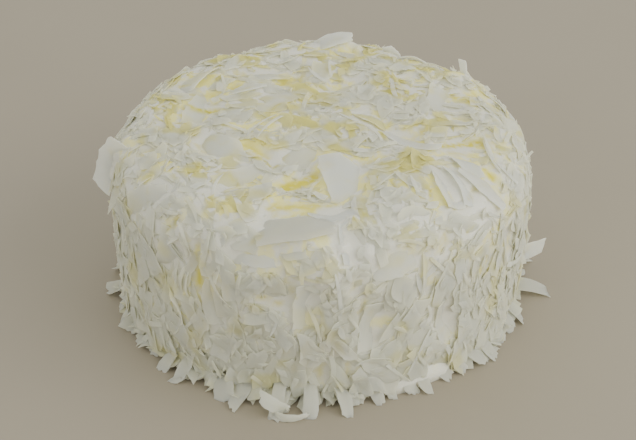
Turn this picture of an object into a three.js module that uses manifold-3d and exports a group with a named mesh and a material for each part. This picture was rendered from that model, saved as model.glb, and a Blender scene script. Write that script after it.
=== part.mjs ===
// A round layer cake, iced all over and coated with large curled coconut flakes.
// Millimetres, +Z up, with the origin at the middle of the foot, on the surface that the cake stands on.
//
// A place on the cake is two numbers. Around is in degrees, from the front (-Y) towards +X. Along is in
// millimetres, from the foot up the side, over the shoulder and in to the middle of the top.
import * as THREE from "three";
import { mergeVertices } from "three/addons/utils/BufferGeometryUtils.js";
import Module from "manifold-3d";

// The coat is the mean outer surface of the flakes, and the icing is a little way under it.
const FOOT_RADIUS = 101;
const WAIST_RADIUS = 105;
const COAT_HEIGHT = 101;
const SHOULDER_RADIUS = 25;
const CROWN = 3.5;
const COAT_DEPTH = 4;
const TOP_RADIUS = WAIST_RADIUS - SHOULDER_RADIUS;
const SIDE_HEIGHT = COAT_HEIGHT - CROWN - SHOULDER_RADIUS;
const SHOULDER_LENGTH = SHOULDER_RADIUS * Math.PI / 2;
const WHOLE_LENGTH = SIDE_HEIGHT + SHOULDER_LENGTH + TOP_RADIUS;

// The icing is spread by hand, so its surface swells and dips a little.
const ICING_SWELL = 0.65;
const SWELL_LENGTH = { x: 17, y: 14, z: 21 };
const ICING_SECTORS = 36;
const ICING_STEPS = { side: 3, shoulder: 4, top: 3 };
const GROUND_DEPTH = 20;
const GROUND_WIDTH = 400;

// Every flake is a thin plate whose lowest edge is pressed this far into the icing.
const FLAKE_THICKNESS = 1;
const FLAKE_SINK = 1.3;
const LONG_FLAKE = 29;
const STEEP_TIP = 50;

// The least and most width of a flake's two ends, as shares of its greatest width. Flakes at the foot and
// those that stand out steeply have the blunter ones.
const COAT_ENDS = { near: [0.55, 0.9], far: [0.35, 0.85] };
const FOOT_ENDS = { near: [0.6, 0.9], far: [0.7, 1] };

// The flakes that show best: around, along, length, width, turn of the long axis from level, lean that
// lifts a long edge, tip that lifts an end, and how far one is pressed in where that isn't the usual.
// The angles are in degrees.
const SHOWN_FLAKES = [
  [11, 141, 36, 20, 92, 9, 8],
  [-7.5, 99.5, 38, 18, 12, -22, 0],
  [-17, 82, 27, 10, 2, -20, 0],
  [4, 113, 22, 12, 0, -14, 0],
  [7, 92, 20, 6, 95, 28, 0],
  [46, 108, 29, 13, 64, 24, 0],
  [51.5, 105, 28, 10, 62, 30, 0],
  [57.5, 97, 29, 16, 98, 22, 0],
  [68, 143, 32, 12, 80, 14, -6],
  [75, 104, 27, 5, 31, 42, 0],
  [63, 112, 20, 12, 60, 18, 0],
  [-86, 79, 29, 18, 86, 45, -8, 4],
  [177, 106, 26, 15, 0, -14, -20],
  [135, 103, 18, 4, 4, 58, 0],
  [126, 101, 15, 5, 90, 8, 62],
  [155, 103, 13, 9, 80, 10, 34],
  [145, 104, 21, 13, 20, 26, 0],
  [88, 25, 22, 10, 3, 0, 56],
  [-36, 128, 30, 17, 65, 18, 0],
  [-14, 158, 27, 15, 20, 12, 0],
  [-62, 137, 32, 16, 10, 16, 0],
  [-105, 128, 34, 14, 5, -18, 0],
  [-128, 112, 27, 16, 12, 22, 0],
  [-150, 133, 28, 16, -30, 16, 0],
  [165, 150, 26, 15, 50, 14, 0],
  [110, 126, 28, 17, -20, 18, 0],
  [100, 165, 24, 14, 35, 16, 0],
  [-45, 70, 25, 14, 80, 20, 0],
  [-58, 88, 26, 15, 40, 22, 0],
  [-30, 52, 27, 12, 95, 24, 0],
  [-4, 58, 25, 13, 88, 18, 0],
  [14, 44, 28, 15, 84, 16, 0],
  [29, 66, 30, 8, 86, 34, 0],
  [36, 36, 26, 12, 98, 20, 0],
  [20, 78, 22, 14, 10, -20, 0],
  [62, 58, 27, 13, 100, 20, 0],
];

// The flakes that lie out on the surface in front of the foot: around, how far each reaches past the
// coat, width, how high its rooted end is, and its swing to one side in degrees.
const FRONT_FOOT_FLAKES = [
  [-86, 9.5, 10, 10, -8],
  [-79, 4, 8, 8, 0],
  [-73, 6, 9, 9, 4],
  [-66, 3.5, 8, 9, -6],
  [-60, 4, 11, 8, 6],
  [-53, 3, 9, 8, 4],
  [-46, 7.5, 9, 10, -6],
  [-41, 9, 9, 11, 8],
  [-36, 10, 6, 5, -30],
  [-27, 9.5, 12, 10, 4],
  [-20, 13, 9, 9, -10],
  [-12.5, 15, 9, 13, 10],
  [-8, 15.5, 8, 8, -14],
  [-3.5, 13, 9, 13, 6],
  [4, 12, 10, 10, 14],
  [10, 4.5, 8, 9, -6],
  [15, 6, 8, 8, 8],
  [20, 3.5, 7, 8, 0],
  [25, 4, 8, 9, 6],
  [31, 6.5, 8, 8, -14],
  [37, 2.5, 9, 9, 8],
  [43, 3, 9, 8, -4],
  [49, 6.5, 10, 9, 10],
  [55, 7, 9, 11, -10],
  [62, 4, 9, 9, 0],
  [68, 5, 9, 10, 6],
  [73.5, 7.5, 9, 10, -4],
  [87.3, 18, 13, 6, 0],
];

// The rest are spread evenly, kind after kind, each within its least and most size and lean.
const BROAD = { length: [20, 29], width: [13, 19], lean: [7, 19] };
const MIDDLING = { length: [13, 20], width: [8, 12], lean: [12, 28] };
const NARROW = { length: [16, 24], width: [4, 6], lean: [22, 50] };
const SPREAD_KINDS = [BROAD, MIDDLING, BROAD, NARROW, MIDDLING, BROAD, MIDDLING];
const SPREAD_COUNT = 150;
const SHOULDER_CROWDING = 1.5;
const BACK_FOOT_FLAKES = { step: 8, reach: [2.5, 13], width: [7, 13], rootHeight: [7, 14], swing: [-32, 32] };
const CLEAR_SHARE = { ownLength: 0.2, shownSize: 0.25 };
const GOLDEN_ANGLE = 180 * (3 - Math.sqrt(5));
const SEED = 20;

// The finest details that the meshes keep.
const FINEST = { input: 1e-4, edge: 2e-3, height: 2e-3 };

// Numbers from 0 to 1 that look random and are the same each time.
function randomNumbers(seed) {
  let state = seed;
  return () => {
    state = (state + 0x6d2b79f5) | 0;
    let mixed = Math.imul(state ^ (state >>> 15), 1 | state);
    mixed = (mixed + Math.imul(mixed ^ (mixed >>> 7), 61 | mixed)) ^ mixed;
    return ((mixed ^ (mixed >>> 14)) >>> 0) / 4294967296;
  };
}

const random = randomNumbers(SEED);
const between = (low, high) => low + (high - low) * random();

// The coat's radius and height at a distance along it, and its outward direction there.
function coat(along) {
  if (along < SIDE_HEIGHT) {
    const bulge = WAIST_RADIUS - FOOT_RADIUS;
    const phase = (Math.PI / 2) * along / SIDE_HEIGHT;
    const slope = bulge * (Math.PI / 2) / SIDE_HEIGHT * Math.cos(phase);
    const radius = FOOT_RADIUS + bulge * Math.sin(phase);
    return { radius, height: along, outward: new THREE.Vector2(1, -slope).normalize() };
  }
  if (along < SIDE_HEIGHT + SHOULDER_LENGTH) {
    const angle = (along - SIDE_HEIGHT) / SHOULDER_RADIUS;
    const outward = new THREE.Vector2(Math.cos(angle), Math.sin(angle));
    const radius = TOP_RADIUS + SHOULDER_RADIUS * outward.x;
    return { radius, height: SIDE_HEIGHT + SHOULDER_RADIUS * outward.y, outward };
  }
  const radius = Math.max(WHOLE_LENGTH - along, 0);
  const height = COAT_HEIGHT - CROWN * (radius / TOP_RADIUS) ** 2;
  const slope = 2 * CROWN * radius / TOP_RADIUS ** 2;
  return { radius, height, outward: new THREE.Vector2(slope, 1).normalize() };
}

// How far the icing stands out of its even surface at a point.
function swell(point) {
  const { x, y, z } = point.clone().divide(SWELL_LENGTH);
  return ICING_SWELL * (Math.sin(x + z) + Math.sin(y - z) * Math.cos(x));
}

// The frame on the icing at a place: X runs around, Y runs along and Z points outwards.
function placeOnIcing(around, along) {
  const { radius, height, outward } = coat(along);
  const angle = THREE.MathUtils.degToRad(around);
  const away = new THREE.Vector3(Math.sin(angle), -Math.cos(angle), 0);
  const acrossAxis = new THREE.Vector3(Math.cos(angle), Math.sin(angle), 0);
  const outAxis = away.clone().multiplyScalar(outward.x).setZ(outward.y);
  const alongAxis = outAxis.clone().cross(acrossAxis);
  const origin = away.clone().multiplyScalar(radius).setZ(height).addScaledVector(outAxis, -COAT_DEPTH);
  origin.addScaledVector(outAxis, swell(origin));
  return new THREE.Matrix4().makeBasis(acrossAxis, alongAxis, outAxis).setPosition(origin);
}

// The distance along the coat that has a given share of the flakes below it: the share of its area, with
// more of them on the shoulder, where each covers less.
function alongAtShare(share) {
  const steps = 400;
  const step = WHOLE_LENGTH / steps;
  const bands = Array.from({ length: steps }, (_, index) => {
    const along = (index + 0.5) * step;
    const onShoulder = along > SIDE_HEIGHT && along < SIDE_HEIGHT + SHOULDER_LENGTH;
    return coat(along).radius * (onShoulder ? SHOULDER_CROWDING : 1);
  });
  const wanted = share * bands.reduce((sum, band) => sum + band, 0);
  let passed = 0;
  const last = bands.findIndex((band) => {
    passed += band;
    return passed >= wanted;
  });
  return (last + 0.5) * step;
}

// A geometry whose points nearer than a distance are one, without the triangles that this shrinks to a line.
function weld(source, nearest) {
  const geometry = source.clone();
  geometry.deleteAttribute("normal");
  geometry.deleteAttribute("uv");
  const merged = mergeVertices(geometry, nearest);
  const index = merged.index.array;
  const triangles = [];
  for (let start = 0; start < index.length; start += 3) {
    const [a, b, c] = index.slice(start, start + 3);
    if (a !== b && b !== c && c !== a) triangles.push(a, b, c);
  }
  merged.setIndex(triangles);
  return merged;
}

function toSolid(wasm, source) {
  const { attributes, index } = weld(source, FINEST.input);
  const vertProperties = Float32Array.from(attributes.position.array);
  const triVerts = Uint32Array.from(index.array);
  return new wasm.Manifold(new wasm.Mesh({ numProp: 3, vertProperties, triVerts }));
}

// Joining leaves some triangles with hardly any height. The longest edge of each is turned: the triangle
// and its neighbour across that edge become two others that cover the same ground.
function turnThinTriangles(geometry) {
  const points = geometry.attributes.position;
  const index = geometry.index;
  const corner = (number) => new THREE.Vector3().fromBufferAttribute(points, number);
  const triangle = (number) => [0, 1, 2].map((step) => index.getX(3 * number + step));
  const edgeKey = (from, to) => from * points.count + to;
  const owners = new Map();
  const setTriangle = (number, corners) => {
    corners.forEach((from, step) => {
      index.setX(3 * number + step, from);
      owners.set(edgeKey(from, corners[(step + 1) % 3]), number);
    });
  };
  const height = (corners) => {
    const [a, b, c] = corners.map(corner);
    const longest = Math.max(a.distanceTo(b), b.distanceTo(c), c.distanceTo(a));
    return 2 * new THREE.Triangle(a, b, c).getArea() / longest;
  };
  const count = index.count / 3;
  for (let number = 0; number < count; number += 1) setTriangle(number, triangle(number));
  for (let number = 0; number < count; number += 1) {
    const corners = triangle(number);
    if (height(corners) > FINEST.height) continue;
    const lengths = corners.map((from, step) => corner(from).distanceTo(corner(corners[(step + 1) % 3])));
    const first = lengths.indexOf(Math.max(...lengths));
    const [a, b, c] = [0, 1, 2].map((step) => corners[(first + step) % 3]);
    const neighbour = owners.get(edgeKey(b, a));
    const d = triangle(neighbour).find((point) => point !== a && point !== b);
    if (owners.has(edgeKey(c, d)) || owners.has(edgeKey(d, c))) continue;
    if (Math.min(height([a, d, c]), height([d, b, c])) <= height(corners)) continue;
    owners.delete(edgeKey(a, b));
    owners.delete(edgeKey(b, a));
    setTriangle(number, [a, d, c]);
    setTriangle(neighbour, [d, b, c]);
  }
}

function toGeometry(solid) {
  const { vertProperties, triVerts } = solid.getMesh();
  const raw = new THREE.BufferGeometry();
  raw.setAttribute("position", new THREE.BufferAttribute(vertProperties, 3));
  raw.setIndex(new THREE.BufferAttribute(triVerts, 1));
  const geometry = weld(raw, FINEST.edge);
  turnThinTriangles(geometry);
  geometry.computeVertexNormals();
  return geometry;
}

// The iced body: a plain round one whose points are moved out to the swelling surface of the icing.
function icedBody() {
  const { side, shoulder, top } = ICING_STEPS;
  const alongs = [
    ...Array.from({ length: side }, (_, step) => SIDE_HEIGHT * step / side),
    ...Array.from({ length: shoulder }, (_, step) => SIDE_HEIGHT + SHOULDER_LENGTH * step / shoulder),
    ...Array.from({ length: top }, (_, step) => WHOLE_LENGTH - TOP_RADIUS * (1 - step / top)),
  ];
  const profile = alongs.map((along) => {
    const { radius, height, outward } = coat(along);
    return new THREE.Vector2(radius, height).addScaledVector(outward, -COAT_DEPTH);
  });
  const underside = new THREE.Vector2(0, -GROUND_DEPTH / 2);
  const foot = new THREE.Vector2(profile[0].x, underside.y);
  const middle = new THREE.Vector2(0, COAT_HEIGHT - COAT_DEPTH);
  const body = new THREE.LatheGeometry([underside, foot, ...profile, middle], ICING_SECTORS);
  body.rotateX(Math.PI / 2);
  const position = body.attributes.position;
  const point = new THREE.Vector3();
  for (let index = 0; index < position.count; index += 1) {
    point.fromBufferAttribute(position, index);
    const outwards = new THREE.Vector3(point.x, point.y, Math.max(point.z - SIDE_HEIGHT, 0) * 2).normalize();
    point.addScaledVector(outwards, swell(point));
    position.setXYZ(index, ...point);
  }
  return body;
}

// A flake in its own frame: its length runs along X and its width along Y. Both of its faces are split
// into triangles alike, so that it keeps its thickness where it bends.
function flake(length, width, ends) {
  const shares = [between(...ends.near), 1, between(...ends.far)];
  if (length > LONG_FLAKE) shares.splice(1, 0, between(0.85, 1));
  const stations = shares.length;
  const curl = length * between(0.03, 0.11) * (random() < 0.7 ? -1 : 1);
  const twist = width * between(-0.08, 0.08);
  const bow = width * between(-0.18, 0.18);
  const position = [];
  for (const face of [0.5, -0.5]) {
    for (let station = 0; station < stations; station += 1) {
      const t = 2 * station / (stations - 1) - 1;
      for (const edge of [-0.5, 0.5]) {
        const x = t * length / 2;
        const y = edge * width * shares[station] + bow * (t * t - 0.5);
        const z = curl * (t * t - 0.4) + 2 * twist * edge * t + face * FLAKE_THICKNESS;
        position.push(x, y, z);
      }
    }
  }
  const under = 2 * stations;
  const triangles = [];
  for (let station = 0; station < stations - 1; station += 1) {
    const a = 2 * station;
    const [b, c, d] = [a + 1, a + 2, a + 3];
    triangles.push(a, c, d, a, d, b);
    triangles.push(a + under, d + under, c + under, a + under, b + under, d + under);
    triangles.push(a + under, c + under, c, a + under, c, a);
    triangles.push(b + under, d, d + under, b + under, b, d);
  }
  const end = 2 * stations - 2;
  triangles.push(under, 0, 1, under, 1, under + 1);
  triangles.push(end + under, end + 1, end, end + under, end + 1 + under, end + 1);
  const geometry = new THREE.BufferGeometry();
  geometry.setAttribute("position", new THREE.Float32BufferAttribute(position, 3));
  geometry.setIndex(triangles);
  return geometry;
}

// A flake on the coat, turned, leant and tipped, with its lowest edge pressed into the icing.
function flakeOnCoat([around, along, length, width, turn, lean, tip, sink = FLAKE_SINK]) {
  const [turnAngle, leanAngle, tipAngle] = [turn, lean, tip].map(THREE.MathUtils.degToRad);
  const lift = Math.abs(Math.sin(leanAngle)) * width / 2 + Math.abs(Math.sin(tipAngle)) * length / 2;
  const place = placeOnIcing(around, along);
  place.multiply(new THREE.Matrix4().makeTranslation(0, 0, lift - sink));
  place.multiply(new THREE.Matrix4().makeRotationZ(turnAngle));
  place.multiply(new THREE.Matrix4().makeRotationY(-tipAngle));
  place.multiply(new THREE.Matrix4().makeRotationX(leanAngle));
  return flake(length, width, tip > STEEP_TIP ? FOOT_ENDS : COAT_ENDS).applyMatrix4(place);
}

// A flake at the foot, rooted in the side and sloping down to the surface that the cake stands on.
function flakeAtFoot([around, reach, width, rootHeight, swing]) {
  const place = (degrees, radius, height) => {
    const angle = THREE.MathUtils.degToRad(degrees);
    return new THREE.Vector3(radius * Math.sin(angle), -radius * Math.cos(angle), height);
  };
  const root = place(around, FOOT_RADIUS - COAT_DEPTH - 2 * FLAKE_SINK, rootHeight);
  const sideways = THREE.MathUtils.radToDeg(reach * Math.sin(THREE.MathUtils.degToRad(swing)) / FOOT_RADIUS);
  const tip = place(around + 2 * sideways, FOOT_RADIUS + reach, FLAKE_THICKNESS / 2);
  const outAxis = tip.clone().sub(root).normalize();
  const sideAxis = new THREE.Vector3(0, 0, 1).cross(outAxis).normalize();
  const frame = new THREE.Matrix4().makeBasis(outAxis, sideAxis, outAxis.clone().cross(sideAxis));
  frame.setPosition(root.clone().add(tip).multiplyScalar(0.5));
  frame.multiply(new THREE.Matrix4().makeRotationX(THREE.MathUtils.degToRad(between(-16, 16))));
  return flake(root.distanceTo(tip), width, FOOT_ENDS).applyMatrix4(frame);
}

// The flakes spread by rule keep clear of the ones that show best.
function isFree(around, along, length) {
  const here = new THREE.Vector3().setFromMatrixPosition(placeOnIcing(around, along));
  return SHOWN_FLAKES.every(([shownAround, shownAlong, shownLength, shownWidth]) => {
    const there = new THREE.Vector3().setFromMatrixPosition(placeOnIcing(shownAround, shownAlong));
    const clear = CLEAR_SHARE.ownLength * length + CLEAR_SHARE.shownSize * (shownLength + shownWidth);
    return here.distanceTo(there) > clear;
  });
}

// On the side most flakes hang near upright, and on the shoulder and the top they point every way.
function spreadFlakes() {
  const places = [];
  for (let number = 0; number < SPREAD_COUNT; number += 1) {
    const kind = SPREAD_KINDS[number % SPREAD_KINDS.length];
    const around = (number * GOLDEN_ANGLE + between(-3, 3)) % 360 - 180;
    const along = alongAtShare((number + 0.5) / SPREAD_COUNT);
    const [length, width, lean] = [between(...kind.length), between(...kind.width), between(...kind.lean)];
    const turn = along < SIDE_HEIGHT ? between(50, 130) : between(0, 180);
    const leanAngle = random() < 0.5 ? -lean : lean;
    const place = [around, along, length, width, turn, leanAngle, between(-7, 7)];
    if (isFree(around, along, length)) places.push(place);
  }
  return places;
}

// Behind the front, foot flakes of uneven reach go all the way round.
function footFlakes() {
  const places = [...FRONT_FOOT_FLAKES];
  const { step, reach, width, rootHeight, swing } = BACK_FOOT_FLAKES;
  for (let around = 93; around < 267; around += step) {
    const sizes = [reach, width, rootHeight, swing].map((limits) => between(...limits));
    places.push([around + between(-3, 3), ...sizes]);
  }
  return places;
}

// What lies below the standing surface is cut away. Hollows that the flakes seal are filled and loose
// scraps are dropped, because only the outer surface of the one whole body is kept.
function finish(wasm, solid) {
  const ground = new THREE.BoxGeometry(GROUND_WIDTH, GROUND_WIDTH, GROUND_DEPTH);
  ground.translate(0, 0, -GROUND_DEPTH / 2);
  const cut = solid.subtract(toSolid(wasm, ground));
  return cut.decompose().reduce((largest, piece) => (piece.volume() > largest.volume() ? piece : largest));
}

const wasm = await Module();
wasm.setup();

const flakes = [
  ...SHOWN_FLAKES.map(flakeOnCoat),
  ...footFlakes().map(flakeAtFoot),
  ...spreadFlakes().map(flakeOnCoat),
];
const joined = flakes.reduce((whole, piece) => whole.add(toSolid(wasm, piece)), toSolid(wasm, icedBody()));
const coconut = new THREE.MeshStandardMaterial({ color: 0xf1eee2, roughness: 0.55, metalness: 0 });
const cake = new THREE.Mesh(toGeometry(finish(wasm, joined)), coconut);
cake.name = "coconut_cake";

const group = new THREE.Group();
group.add(cake);
export default group;
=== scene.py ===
# The looks of a round coconut cake: the icing, the broad flakes that show best, the finer flakes, shavings
# and crumbs strewn over them in layers, and a pale floor, soft light and the camera.
import math

import bmesh
import bpy
import numpy as np
from mathutils import Matrix, Vector, noise


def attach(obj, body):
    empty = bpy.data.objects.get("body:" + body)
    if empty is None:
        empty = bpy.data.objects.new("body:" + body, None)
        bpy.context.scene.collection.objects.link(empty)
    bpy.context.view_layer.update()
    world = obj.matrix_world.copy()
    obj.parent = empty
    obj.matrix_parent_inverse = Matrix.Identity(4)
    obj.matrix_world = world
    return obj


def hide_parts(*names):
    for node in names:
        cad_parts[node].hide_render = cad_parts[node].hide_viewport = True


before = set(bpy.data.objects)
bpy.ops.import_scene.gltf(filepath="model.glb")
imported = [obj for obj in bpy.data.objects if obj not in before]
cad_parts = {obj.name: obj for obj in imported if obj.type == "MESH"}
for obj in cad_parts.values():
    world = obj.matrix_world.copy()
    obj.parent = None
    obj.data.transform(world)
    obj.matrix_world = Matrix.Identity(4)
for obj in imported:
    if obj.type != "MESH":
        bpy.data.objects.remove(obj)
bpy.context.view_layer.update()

# Sizes are in millimetres, as the solids have them, and become metres when a mesh is made.
MM = 0.001
CAKE = "coconut_cake"

# The coat is the mean outer surface of the flakes, and the icing is a little way under it.
FOOT_RADIUS = 101
WAIST_RADIUS = 105
COAT_HEIGHT = 101
SHOULDER_RADIUS = 25
CROWN = 3.5
COAT_DEPTH = 4
TOP_RADIUS = WAIST_RADIUS - SHOULDER_RADIUS
SIDE_HEIGHT = COAT_HEIGHT - CROWN - SHOULDER_RADIUS
SHOULDER_LENGTH = SHOULDER_RADIUS * math.pi / 2
WHOLE_LENGTH = SIDE_HEIGHT + SHOULDER_LENGTH + TOP_RADIUS
ICING_SWELL = 0.65
SWELL_LENGTH = (17, 14, 21)
FLAKE_THICKNESS = 1
FLAKE_SINK = 1.3
LONG_FLAKE = 29
STEEP_TIP = 50

# The least and most width of a flake's two ends, as shares of its greatest width. Flakes at the foot and
# those that stand out steeply have the blunter ones.
COAT_ENDS = ((0.55, 0.9), (0.35, 0.85))
FOOT_ENDS = ((0.6, 0.9), (0.7, 1))

# The flakes that show best: around, along, length, width, turn of the long axis from level, lean that
# lifts a long edge, tip that lifts an end, and how far one is pressed in where that isn't the usual.
# The angles are in degrees.
SHOWN_FLAKES = [
    (11, 141, 36, 20, 92, 9, 8),
    (-7.5, 99.5, 38, 18, 12, -22, 0),
    (-17, 82, 27, 10, 2, -20, 0),
    (4, 113, 22, 12, 0, -14, 0),
    (7, 92, 20, 6, 95, 28, 0),
    (46, 108, 29, 13, 64, 24, 0),
    (51.5, 105, 28, 10, 62, 30, 0),
    (57.5, 97, 29, 16, 98, 22, 0),
    (68, 143, 32, 12, 80, 14, -6),
    (75, 104, 27, 5, 31, 42, 0),
    (63, 112, 20, 12, 60, 18, 0),
    (-86, 79, 29, 18, 86, 45, -8, 4),
    (177, 106, 26, 15, 0, -14, -20),
    (135, 103, 18, 4, 4, 58, 0),
    (126, 101, 15, 5, 90, 8, 62),
    (155, 103, 13, 9, 80, 10, 34),
    (145, 104, 21, 13, 20, 26, 0),
    (88, 25, 22, 10, 3, 0, 56),
    (-36, 128, 30, 17, 65, 18, 0),
    (-14, 158, 27, 15, 20, 12, 0),
    (-62, 137, 32, 16, 10, 16, 0),
    (-105, 128, 34, 14, 5, -18, 0),
    (-128, 112, 27, 16, 12, 22, 0),
    (-150, 133, 28, 16, -30, 16, 0),
    (165, 150, 26, 15, 50, 14, 0),
    (110, 126, 28, 17, -20, 18, 0),
    (100, 165, 24, 14, 35, 16, 0),
    (-45, 70, 25, 14, 80, 20, 0),
    (-58, 88, 26, 15, 40, 22, 0),
    (-30, 52, 27, 12, 95, 24, 0),
    (-4, 58, 25, 13, 88, 18, 0),
    (14, 44, 28, 15, 84, 16, 0),
    (29, 66, 30, 8, 86, 34, 0),
    (36, 36, 26, 12, 98, 20, 0),
    (20, 78, 22, 14, 10, -20, 0),
    (62, 58, 27, 13, 100, 20, 0),
]

# The flakes that lie out on the surface in front of the foot: around, how far each reaches past the
# coat, width, how high its rooted end is, and its swing to one side in degrees.
FRONT_FOOT_FLAKES = [
    (-86, 9.5, 10, 10, -8),
    (-79, 4, 8, 8, 0),
    (-73, 6, 9, 9, 4),
    (-66, 3.5, 8, 9, -6),
    (-60, 4, 11, 8, 6),
    (-53, 3, 9, 8, 4),
    (-46, 7.5, 9, 10, -6),
    (-41, 9, 9, 11, 8),
    (-36, 10, 6, 5, -30),
    (-27, 9.5, 12, 10, 4),
    (-20, 13, 9, 9, -10),
    (-12.5, 15, 9, 13, 10),
    (-8, 15.5, 8, 8, -14),
    (-3.5, 13, 9, 13, 6),
    (4, 12, 10, 10, 14),
    (10, 4.5, 8, 9, -6),
    (15, 6, 8, 8, 8),
    (20, 3.5, 7, 8, 0),
    (25, 4, 8, 9, 6),
    (31, 6.5, 8, 8, -14),
    (37, 2.5, 9, 9, 8),
    (43, 3, 9, 8, -4),
    (49, 6.5, 10, 9, 10),
    (55, 7, 9, 11, -10),
    (62, 4, 9, 9, 0),
    (68, 5, 9, 10, 6),
    (73.5, 7.5, 9, 10, -4),
    (87.3, 18, 13, 6, 0),
]

# The rest of the broad flakes are spread evenly, kind after kind, within their least and most
# length, width and lean.
BROAD = ((20, 29), (13, 19), (7, 19))
MIDDLING = ((13, 20), (8, 12), (12, 28))
NARROW = ((16, 24), (4, 6), (22, 50))
SPREAD_KINDS = (BROAD, MIDDLING, BROAD, NARROW, MIDDLING, BROAD, MIDDLING)
SPREAD_COUNT = 150
SPREAD_TIP = (-7, 7)
SHOULDER_CROWDING = 1.5
CLEAR_OF_OWN_LENGTH = 0.2
CLEAR_OF_SHOWN_SIZE = 0.25
GOLDEN_ANGLE = 180 * (3 - math.sqrt(5))

# The flakes at the back of the foot: between which angles around, the step from one to the next, and the
# least and most of their reach, width, root height and swing. All flakes at the foot have some roll.
BACK_FOOT_ENDS = (93, 267)
BACK_FOOT_STEP = 8
BACK_FOOT_LIMITS = ((2.5, 13), (7, 13), (7, 14), (-32, 32))
FOOT_ROLL = (-16, 16)

# How far a regular place is shifted around, and the turns of flakes that hang on the side and of those that
# lie elsewhere, in degrees.
AROUND_SHIFT = (-3, 3)
HANGING_TURNS = (50, 130)
ANY_TURNS = (0, 180)
SEED = 20


# Random numbers that the solids' flakes are made from, so that the same flakes come out here.
def random_numbers(seed):
    state = seed
    while True:
        state = (state + 0x6D2B79F5) & 0xFFFFFFFF
        mixed = ((state ^ (state >> 15)) * (1 | state)) & 0xFFFFFFFF
        mixed = ((mixed + (mixed ^ (mixed >> 7)) * (61 | mixed)) ^ mixed) & 0xFFFFFFFF
        yield ((mixed ^ (mixed >> 14)) & 0xFFFFFFFF) / 4294967296


draws = random_numbers(SEED)
strewn = np.random.default_rng(SEED)


def draw():
    return next(draws)


def between(low, high):
    return low + (high - low) * draw()


# The coat's radius and height at a distance along it, and its outward direction there.
def coat(along):
    if along < SIDE_HEIGHT:
        bulge = WAIST_RADIUS - FOOT_RADIUS
        phase = math.pi / 2 * along / SIDE_HEIGHT
        slope = bulge * math.pi / 2 / SIDE_HEIGHT * math.cos(phase)
        size = math.hypot(1, slope)
        return FOOT_RADIUS + bulge * math.sin(phase), along, (1 / size, -slope / size)
    if along < SIDE_HEIGHT + SHOULDER_LENGTH:
        angle = (along - SIDE_HEIGHT) / SHOULDER_RADIUS
        out, up = math.cos(angle), math.sin(angle)
        return TOP_RADIUS + SHOULDER_RADIUS * out, SIDE_HEIGHT + SHOULDER_RADIUS * up, (out, up)
    radius = max(WHOLE_LENGTH - along, 0)
    slope = 2 * CROWN * radius / TOP_RADIUS ** 2
    size = math.hypot(1, slope)
    return radius, COAT_HEIGHT - CROWN * (radius / TOP_RADIUS) ** 2, (slope / size, 1 / size)


# How far the icing stands out of its even surface at points in millimetres.
def swell(points):
    x, y, z = np.moveaxis(np.asarray(points) / SWELL_LENGTH, -1, 0)
    return ICING_SWELL * (np.sin(x + z) + np.sin(y - z) * np.cos(x))


# The frame on the icing at a place: X runs around, Y runs along and Z points outwards.
def place_on_icing(around, along):
    radius, height, (out, up) = coat(along)
    angle = math.radians(around)
    across = np.array((math.cos(angle), math.sin(angle), 0))
    outwards = np.array((out * math.sin(angle), -out * math.cos(angle), up))
    origin = np.array((radius * math.sin(angle), -radius * math.cos(angle), height)) - COAT_DEPTH * outwards
    origin += swell(origin) * outwards
    return origin, np.column_stack((across, np.cross(outwards, across), outwards))


def around_and_along(point):
    x, y, z = point
    radius = math.hypot(x, y)
    around = math.degrees(math.atan2(x, -y))
    if z < SIDE_HEIGHT:
        return around, max(z, 0)
    if radius < TOP_RADIUS:
        return around, WHOLE_LENGTH - radius
    return around, SIDE_HEIGHT + SHOULDER_RADIUS * math.atan2(z - SIDE_HEIGHT, radius - TOP_RADIUS)


# The coat in narrow bands, and how much of what is spread over it lies below the end of each. That goes by
# the area, with more on the shoulder, where each flake covers less.
STEPS = 400
STEP_ALONGS = (np.arange(STEPS) + 0.5) * WHOLE_LENGTH / STEPS
ON_SHOULDER = (STEP_ALONGS > SIDE_HEIGHT) & (STEP_ALONGS < SIDE_HEIGHT + SHOULDER_LENGTH)
BANDS = np.array([coat(along)[0] for along in STEP_ALONGS]) * np.where(ON_SHOULDER, SHOULDER_CROWDING, 1)
PASSED = np.cumsum(BANDS)


# The distance along the coat that has a given share of the flakes below it.
def along_at_share(share):
    return STEP_ALONGS[np.argmax(PASSED >= share * PASSED[-1])]


def turns_at(along):
    return HANGING_TURNS if along < SIDE_HEIGHT else ANY_TURNS


def turned(axis, degrees):
    return np.array(Matrix.Rotation(math.radians(degrees), 3, axis))


def named_socket(sockets, key):
    return next(socket for socket in sockets if key in (socket.identifier, socket.name))


# An operator on sockets, with its reflected form, where the socket is the second of the two.
def both_ways(operation):
    def plain(self, other):
        return self.maths(operation, self, other)

    def reflected(self, other):
        return self.maths(operation, other, self)

    return plain, reflected


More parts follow.
